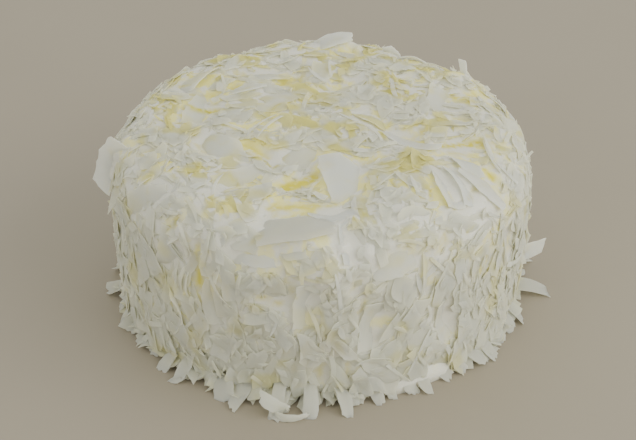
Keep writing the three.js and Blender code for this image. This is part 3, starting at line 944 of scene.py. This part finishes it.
def slivers(pile):
    made = []
    for around, along, far_around, far_along, width, bow in SLIVERS:
        start, end = place_on_icing(around, along)[0], place_on_icing(far_around, far_along)[0]
        middle, axes = place_on_icing(*around_and_along((start + end) / 2))
        ahead = axes.T @ (end - start)
        flake = Flake(np.linalg.norm(end - start), width, bend=-0.3, cup=0.0, twist=0.1 * width, bow=bow,
                      ends=(0.4, 0.6), peak=0.1, taper=2.0)
        flake.axes = axes @ turned("Z", math.degrees(math.atan2(ahead[1], ahead[0])))
        flake.origin = middle
        pile.lay_on_slope(flake, axes[:, 2], clear_share=0.5, over=SLIVER_RISE)
        made.append(flake)
    return made


# How deep the curls and the shards at the foot count as lying, which sets their painted yellow, and how
# much painted shade both have.
CURL_DEPTH = 0.1
SHARD_DEPTH = 0.2
SMALL_PAINTED_SHADE = 0.6 * FOOT_PAINTED_SHADE

# Flakes at the foot that stand on edge and curl round: around, the radius that the closed side comes out
# to, length, width, bend in radians, tilt away from upright, turn and rise in degrees.
FOOT_CURLS = ((-7.5, 117, 22, 4, 2.2, -8, -6, -4), (-11, 114, 18, 7, 1.4, -14, 26, 34),
              (160, 110, 24, 7, 2.6, -10, 20, 10), (-130, 109, 20, 7, 2.0, -12, -24, -20))


def foot_curls():
    curls = []
    for around, radius, length, width, bend, tilt, turn, rise in FOOT_CURLS:
        flake = Flake(length, width, bend, cup=0.0, twist=0.2 * width, bow=0.1 * width, ends=(0.5, 0.8),
                      peak=0.2, taper=1.6, skew=0.3 * width)
        middle = at_foot(around, 1, 0)
        across = np.cross((0, 0, 1), middle)
        axes = np.column_stack((-across, (0, 0, 1), -middle))
        flake.axes = axes @ turned("Y", turn) @ turned("X", -tilt) @ turned("Z", rise)
        flake.origin = at_foot(around, radius + flake.middle * math.cos(math.radians(tilt)), 0)
        flake.origin[2] = -flake.placed()[:, 2].min()
        flake.depth = CURL_DEPTH
        flake.painted_shade = SMALL_PAINTED_SHADE
        curls.append(flake)
    return curls


# Small flakes that fill the edge of the foot: how many, and the least and most of how high each is rooted,
# how much of its reach it has, its width, how high its tip is, its swing and its roll in degrees. The reach
# goes from the least to the most past the coat, or to a share of what the front flake beside it has, where
# that is more.
SHARD_COUNT = 330
SHARD_LIMITS = ((3, 9), (0, 1), (4, 10), (0.6, 4), (-50, 50), (-35, 35))
SHARD_REACH = (-1, 3.5)
SHARE_OF_BESIDE = 0.75
BESIDE_DEGREES = 4


def foot_shards():
    shards = []
    least, most = SHARD_REACH
    for number in range(SHARD_COUNT):
        around = number * 360 / SHARD_COUNT + strewn.uniform(-1, 1)
        if strewn.random() < bead_share(around):
            continue
        drawn = (strewn.uniform(*limits) for limits in SHARD_LIMITS)
        root_height, share, width, tip_height, swing, roll = drawn
        beside = min(FRONT_FOOT_FLAKES, key=lambda place: degrees_apart(around, place[0]))
        near = beside[1] < BLUNT_REACH and degrees_apart(around, beside[0]) < BESIDE_DEGREES
        reach = least + share * (max(most, SHARE_OF_BESIDE * beside[1] if near else 0) - least)
        origin, axes, length = place_at_foot(around, reach, root_height, swing, tip_height)
        flake = Flake(length, width, bend=strewn.uniform(0.1, 0.5), cup=0.0, twist=0.0,
                      bow=width * strewn.uniform(-0.15, 0.15), ends=strewn.uniform(0.4, 1.0, 2),
                      peak=strewn.uniform(-0.4, 0.4), taper=1.5, skew=width * strewn.uniform(-0.3, 0.3))
        flake.origin, flake.axes = origin, axes @ turned("X", roll)
        flake.depth = SHARD_DEPTH
        flake.painted_shade = SMALL_PAINTED_SHADE
        shards.append(flake)
    return shards


# Dabs of icing that show between the flakes: around, along, size and how far each stands out.
ICING_DABS = ((6, 90, 3.5, 3.4), (13, 86, 4, 3.4), (19, 88, 3, 3.2), (50, 75, 3.5, 3.4), (-30, 77, 3, 3.2),
              (36, 20, 3, 3.0), (-52, 34, 3.5, 3.2), (120, 60, 4, 3.4), (-140, 80, 4, 3.4), (178, 40, 4, 3.2))

# How steeply a dab falls off, and how many rows of spots across it are laid on the pile.
DAB_FALL = 1.6
DAB_ROWS = 9

ICING_RINGS = 76
ICING_SECTORS = 240

# The depth and the length of the waves of the icing's relief.
RELIEF_WAVES = ((0.5, 9), (0.25, 3.2))

# The icing wells up to a little under the pile: how far around the pile is evened, how far under it the
# icing stays at two heights, between which heights at the foot the welling begins, and how much of it is
# left out in a hollow.
WELL_SPREAD = 5
WELL_UNDER = ((50, 90), (1.8, 1.2))
WELL_BEGINS = (8, 20)
WELL_LEFT_OUT = 0.8


def dab_height(points):
    height = np.zeros(points.shape[:-1])
    for around, along, size, out in ICING_DABS:
        middle = place_on_icing(around, along)[0]
        distance = np.linalg.norm(points - middle, axis=-1) / size
        height += out * np.exp(-DAB_FALL * distance ** 3)
    return height


# Raises the pile's cells to the dabs, and keeps them clear.
def lay_dabs(pile):
    for around, along, size, _ in ICING_DABS:
        middle, axes = place_on_icing(around, along)
        reach = np.linspace(-size, size, DAB_ROWS)
        spots = np.array([middle + x * axes[:, 0] + y * axes[:, 1] for x in reach for y in reach])
        cell = pile.find(spots)[0]
        pile.heights[cell] = np.maximum(pile.heights[cell], dab_height(spots))
        nearness = np.exp(-2 * (np.linalg.norm(spots - middle, axis=1) / size) ** 2)
        pile.shown[cell] = np.maximum(pile.shown[cell], nearness)


def icing_relief(point):
    return sum(depth * noise.noise(Vector(point / length)) for depth, length in RELIEF_WAVES)


# How far the icing stands out of its even surface at each point. It wells up between the flakes that are
# pressed into it, and has its relief, the dabs and the bead.
def icing_out(origins, outwards, pile):
    heights = origins[:, 2]
    welled = np.maximum(0, pile.evened(origins, outwards, WELL_SPREAD) - np.interp(heights, *WELL_UNDER))
    out = welled * np.interp(heights, WELL_BEGINS, (0, 1)) * (1 - WELL_LEFT_OUT * in_hollow(origins))
    relief = np.array([icing_relief(origin) for origin in origins])
    out = np.maximum(out + relief, dab_height(origins))
    around = np.degrees(np.arctan2(origins[:, 0], -origins[:, 1]))
    across_bead = np.clip(1 - ((heights - BEAD_HEIGHT / 2) / (BEAD_HEIGHT * BEAD_ARC)) ** 2, 0, 1)
    bead_level = (COAT_DEPTH + BEAD_OUT) * np.sqrt(across_bead) + BEAD_RELIEF * relief
    return out + bead_share(around) * np.maximum(0, bead_level - out)


# The icing all over the cake, closed underneath.
def icing(finish, pile):
    alongs = np.linspace(0, WHOLE_LENGTH, ICING_RINGS + 1)[:-1]
    places = [place_on_icing(360 * sector / ICING_SECTORS, along) for along in alongs
              for sector in range(ICING_SECTORS)]
    origins = np.array([origin for origin, _ in places])
    outwards = np.array([axes[:, 2] for _, axes in places])
    points = origins + outwards * icing_out(origins, outwards, pile)[:, None]
    points[:, 2] = np.maximum(points[:, 2], 0)
    top = points[-ICING_SECTORS:, 2].mean()
    points = points.tolist()
    faces = []
    for ring in range(ICING_RINGS - 1):
        for sector in range(ICING_SECTORS):
            beside = (sector + 1) % ICING_SECTORS
            here, above = ring * ICING_SECTORS, (ring + 1) * ICING_SECTORS
            faces.append((here + sector, here + beside, above + beside, above + sector))
    for ring, end in ((0, (0, 0, 0)), (ICING_RINGS - 1, (0, 0, top))):
        middle = len(points)
        points.append(end)
        for sector in range(ICING_SECTORS):
            here = ring * ICING_SECTORS
            edge = (here + sector, here + (sector + 1) % ICING_SECTORS)
            faces.append((*edge, middle) if ring else (*reversed(edge), middle))
    mesh = bpy.data.meshes.new("icing")
    mesh.from_pydata((np.array(points) * MM).tolist(), [], faces)
    mesh.update()
    mark_hollows(mesh)
    return finished("icing", mesh, finish)


# A material whose shader gets its plain settings by name, and its varying ones from wires.
def finish_of(name, settings, wires):
    finish = bpy.data.materials.new(name)
    finish.use_nodes = True
    shader = finish.node_tree.nodes["Principled BSDF"]
    for key, value in settings.items():
        shader.inputs[key].default_value = value
    for key, wire in wires(Wire(finish.node_tree)).items():
        finish.node_tree.links.new(wire.socket, shader.inputs[key])
    return finish


# How much light comes through a flake, its colour, and how much of it is left out in a hollow.
LIGHT_THROUGH = 0.45
THROUGH_COLOUR = (0.99, 0.985, 0.9, 1)
HOLLOW_LEFT_OUT = 0.8


# Thin flakes let some light through, so that what lies behind them is lit too.
def let_light_through(finish):
    sheet = Wire(finish.node_tree)
    share = LIGHT_THROUGH * (1 - HOLLOW_LEFT_OUT * sheet.attribute("hollow"))
    through = sheet.node("ShaderNodeBsdfTranslucent", {}, {"Color": THROUGH_COLOUR})
    end = finish.node_tree.nodes["Material Output"]
    solid = Wire(finish.node_tree, end.inputs["Surface"].links[0].from_socket)
    mixed = sheet.node("ShaderNodeMixShader", {}, {0: share, 1: solid, 2: through})
    finish.node_tree.links.new(mixed.socket, end.inputs["Surface"])


# The rim colour is a painted highlight, the darkened white a painted shade, and the yellows are painted
# light: the deep one in the hollows, the pale one in the gaps and on deep flakes.
WHITE = (0.93, 0.94, 0.87, 1)
COOL_WHITE = (0.88, 0.92, 0.89, 1)
PAINTED_RIM_HIGHLIGHT = (0.97, 0.985, 0.95, 1)
PAINTED_SHADE_WHITE = (0.66, 0.66, 0.57, 1)
PAINTED_HOLLOW_YELLOW = (0.72, 0.64, 0.012, 1)
PAINTED_GAP_YELLOW = (0.92, 0.86, 0.25, 1)
CREAM = (0.92, 0.83, 0.46, 1)
ICING_WHITE = (0.77, 0.765, 0.66, 1)
FLOOR_SHADES = ((0.33, 0.29, 0.22, 1), (0.36, 0.32, 0.25, 1))

# The heights in metres between which the side turns into the top, which gets more of the painted yellow.
TOP_HEIGHTS = (0.086, 0.099)

# How fine the patterns are, in cycles a metre: the specks of painted yellow in the hollows, the patches of
# painted yellow on deep flakes, the cream in the white, the icing's patches of painted yellow and what
# breaks them up, its smears and its gloss, and the floor's mottle and grain. Fibres run along a flake, so
# their pattern is stretched along the grain.
SPECK_SCALE = 320.0
PATCH_SCALE = 48.0
PATCH_SHIFT = (0.3, 0.1, 0.0)
CREAM_SCALE = 110.0
FIBRE_SCALES = (90.0, 1300.0, 3.7)
ICING_PATCH_SCALE = 42.0
ICING_BREAK_SCALE = 190.0
SMEAR_SCALE = 400.0
GLOSS_SCALE = 120.0
MOTTLE_SCALE = 9.0
FLOOR_GRAIN_SCALE = 700.0

# How deep the fibres, the icing's smears and the floor's grain seem, in metres.
FIBRE_DEPTH = 0.0002
SMEAR_DEPTH = 0.0006
FLOOR_GRAIN_DEPTH = 0.0002


def own_place(sheet):
    return sheet.node("ShaderNodeTexCoord", output="Object")


# From 0 on the side to 1 on the top.
def topness(sheet, place):
    return sheet.node("ShaderNodeSeparateXYZ", {}, {0: place}, "Z").ramp(*TOP_HEIGHTS)


# The painted yellow light of the hollows, broken up into specks.
def hollow_yellow(sheet, place):
    specks = sheet.noise(place, SPECK_SCALE, 3.0).ramp(0.33, 0.52)
    return sheet.attribute("hollow") * (0.5 + 0.5 * specks)


# Painted light: deep flakes are painted yellow in patches, most of all on the top, for the yellow light that
# comes through the flakes into the gaps. Rims get a painted highlight, and shaded flakes get painted shade.
def coconut_wires(sheet):
    place = own_place(sheet)
    on_top = topness(sheet, place)
    shifted = sheet.vectors("ADD", place, PATCH_SHIFT)
    patches = (sheet.noise(shifted, PATCH_SCALE) + 0.062 * on_top).ramp(0.53, 0.66)
    deep = sheet.attribute("depth").ramp(0.0, 0.35)
    # Painted yellow for the light in the gaps: on deep flakes, in patches, more on the top.
    painted_yellow_share = deep * (0.17 + 0.05 * on_top + (0.4 + 0.5 * on_top) * patches)
    white = sheet.attribute("tone").colours(WHITE, COOL_WHITE)
    white = (sheet.noise(place, CREAM_SCALE).ramp(0.5, 0.75) * 0.35).colours(white, CREAM)
    # Painted highlight: the rims of the flakes are lightened.
    white = (sheet.attribute("rim") * 0.6).colours(white, PAINTED_RIM_HIGHLIGHT)
    # Painted shade: flakes that face down or lie at the foot are darkened.
    white = sheet.attribute("painted_shade").colours(white, PAINTED_SHADE_WHITE)
    pale = painted_yellow_share.colours(white, PAINTED_GAP_YELLOW)
    grain = sheet.attribute("grain", "Vector")
    fibres = sheet.noise(sheet.vectors("MULTIPLY", grain, FIBRE_SCALES), 1.0, 3.0)
    return {
        "Base Color": hollow_yellow(sheet, place).colours(pale, PAINTED_HOLLOW_YELLOW),
        "Roughness": 0.42 + 0.2 * fibres,
        "Normal": sheet.bump(fibres, 0.5, FIBRE_DEPTH),
    }


# Painted light: the icing is painted pale yellow in patches, more on the top, for the yellow light in the
# gaps between the flakes, and deep yellow in the hollows.
def icing_wires(sheet):
    place = own_place(sheet)
    on_top = topness(sheet, place)
    patches = (sheet.noise(place, ICING_PATCH_SCALE) + 0.05 * on_top).ramp(0.5, 0.62)
    patches = patches * sheet.noise(place, ICING_BREAK_SCALE).ramp(0.35, 0.55)
    pale = (patches * (0.5 + 0.4 * on_top)).colours(ICING_WHITE, PAINTED_GAP_YELLOW)
    return {
        "Base Color": hollow_yellow(sheet, place).colours(pale, PAINTED_HOLLOW_YELLOW),
        "Roughness": 0.24 + 0.2 * sheet.noise(place, GLOSS_SCALE),
        "Normal": sheet.bump(sheet.noise(place, SMEAR_SCALE, 3.0), 0.5, SMEAR_DEPTH),
    }


def floor_wires(sheet):
    place = own_place(sheet)
    return {
        "Base Color": sheet.noise(place, MOTTLE_SCALE, 4.0).colours(*FLOOR_SHADES),
        "Normal": sheet.bump(sheet.noise(place, FLOOR_GRAIN_SCALE), 0.1, FLOOR_GRAIN_DEPTH),
    }


MILKY = {"Subsurface Radius": (1.0, 0.9, 0.7), "Subsurface Scale": 0.003}
COCONUT_SETTINGS = {"Subsurface Weight": 0.5, "Specular IOR Level": 0.3, **MILKY}
ICING_SETTINGS = {"Subsurface Weight": 0.4, "Coat Weight": 0.1, "Coat Roughness": 0.25, **MILKY}
coconut_finish = finish_of("coconut", COCONUT_SETTINGS, coconut_wires)
let_light_through(coconut_finish)
icing_finish = finish_of("icing", ICING_SETTINGS, icing_wires)
floor_finish = finish_of("pale floor", {"Roughness": 0.6}, floor_wires)

pile = Pile()
lay_dabs(pile)
shown, steep = shown_flakes()
foot, far_out = foot_flakes()
spread = spread_flakes()
blunt = steep + far_out
for flake in spread + shown + blunt + foot:
    pile.lay(flake)
for flake in shown:
    pile.shown[pile.find(flake.placed())[0]] = flake.clear

# What is strewn over them, layer by layer: piece, how many, tries, extra lean in degrees and the share of
# a flake that lies clear of what is under it.
LAYERS = (
    ("flakes", 600, 8, 1, 0.5),
    ("strewn_broad_flakes", 140, 8, 1, 0.5),
    ("narrow_flakes", 300, 8, 2, 0.5),
    ("flakes", 600, 8, 2, 0.5),
    ("strewn_broad_flakes", 100, 8, 1, 0.5),
    ("shavings", 250, 6, 3, 0.5),
    ("narrow_flakes", 300, 8, 2, 0.5),
    ("flakes", 550, 8, 2, 0.5),
    ("crumbs", 250, 6, 3, 0.5),
    ("shavings", 350, 6, 4, 0.6),
    ("crumbs", 250, 6, 4, 0.6),
)
strewn_over = {name: [] for name in STREWN}
for name, count, tries, lean, clear_share in LAYERS:
    for _ in range(count):
        flake = strewn_flake(name)
        pile.settle(flake, tries, lean, clear_share)
        strewn_over[name].append(flake)
for flake in sum(strewn_over.values(), shown + spread):
    flake.depth = pile.depth(flake)
for flake in shown + blunt:
    flake.depth *= 1 - flake.clear
strewn_over["shavings"] += slivers(pile)
shards, curls = foot_shards(), foot_curls()

pieces = {"broad_flakes": shown + spread, "blunt_flakes": blunt, "foot_flakes": foot, "foot_curls": curls,
          "foot_shards": shards, **strewn_over}
tree = flake_tree()
for name in FORMS:
    piece_of_flakes(name, pieces[name], tree, coconut_finish)
icing(icing_finish, pile)

FLOOR_RADIUS = 3
FLOOR_CORNERS = 96
angles = np.linspace(0, 2 * math.pi, FLOOR_CORNERS, endpoint=False)
corners = [(FLOOR_RADIUS * math.cos(angle), FLOOR_RADIUS * math.sin(angle), 0) for angle in angles]
floor_mesh = bpy.data.meshes.new("floor")
floor_mesh.from_pydata(corners, [], [tuple(range(FLOOR_CORNERS))])
floor_mesh.materials.append(floor_finish)
floor = bpy.data.objects.new("floor", floor_mesh)
bpy.context.scene.collection.objects.link(floor)

# The soft lights, which aim at the middle of the cake: place, power and colour.
SOFT_LIGHTS = {
    "key": ((1.6, -0.75, 0.9), 21.5, (1.0, 0.985, 0.92)),
    "left fill": ((-1.5, -1.15, 0.5), 2.0, (1.0, 0.985, 0.94)),
}
SOFT_LIGHT_SIZE = 2.0
MIDDLE = (0, 0, 0.05)
AIR_COLOUR = (1.0, 0.995, 0.94, 1)
AIR_STRENGTH = 0.71

for name, (place, power, colour) in SOFT_LIGHTS.items():
    light = bpy.data.lights.new(name, "AREA")
    light.shape = "SQUARE"
    light.size = SOFT_LIGHT_SIZE
    light.energy = power
    light.color = colour
    lamp = bpy.data.objects.new(name, light)
    lamp.location = place
    lamp.rotation_euler = (Vector(place) - Vector(MIDDLE)).to_track_quat("Z", "Y").to_euler()
    bpy.context.scene.collection.objects.link(lamp)
world = bpy.data.worlds.new("studio")
world.use_nodes = True
air = world.node_tree.nodes["Background"]
air.inputs["Color"].default_value = AIR_COLOUR
air.inputs["Strength"].default_value = AIR_STRENGTH
bpy.context.scene.world = world

# The camera's lens and sensor width in millimetres, and its turn in degrees.
LENS = 130.5
SENSOR_WIDTH = 36
CAMERA_PLACE = (0, -0.9937, 0.6728)
CAMERA_TURN = (57.55, 0, 0.062)
EXPOSURE = 0.5

camera_data = bpy.data.cameras.new("camera")
camera_data.lens = LENS
camera_data.sensor_width = SENSOR_WIDTH
camera = bpy.data.objects.new("camera", camera_data)
camera.location = CAMERA_PLACE
camera.rotation_euler = [math.radians(angle) for angle in CAMERA_TURN]
bpy.context.scene.collection.objects.link(camera)
bpy.context.scene.camera = camera
bpy.context.scene.view_settings.view_transform = "AgX"
bpy.context.scene.view_settings.exposure = EXPOSURE
